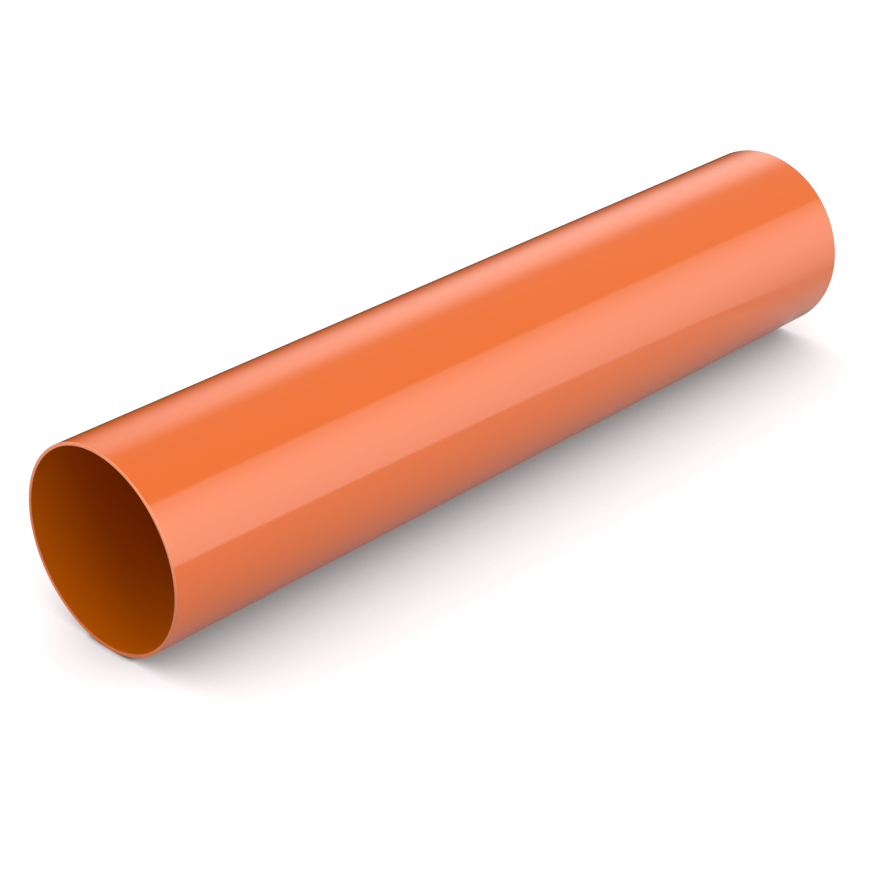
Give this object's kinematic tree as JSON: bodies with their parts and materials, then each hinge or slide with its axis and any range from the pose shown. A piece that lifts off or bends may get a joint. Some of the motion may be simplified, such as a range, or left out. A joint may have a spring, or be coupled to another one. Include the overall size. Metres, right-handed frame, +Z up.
{
  "type": "downpipe",
  "caption": "Round plastic downpipe: a thin-walled extruded tube, cut square and deburred at both ends, that carries rainwater from a gutter.",
  "frame": {"origin": "centre of the underside: the point of the pipe's lowest line halfway along its length, on the floor that it lies on", "axes": "+X along the pipe from its left end to its right end, +Z up, +Y to the side"},
  "size_m": [0.52, 0.1099, 0.11],
  "materials": {
    "extruded_pvc": "extruded rigid PVC, brick orange right through, smooth and glossy"
  },
  "bodies": {
    "root": {"pipe": "extruded_pvc"}
  },
  "joints": []
}
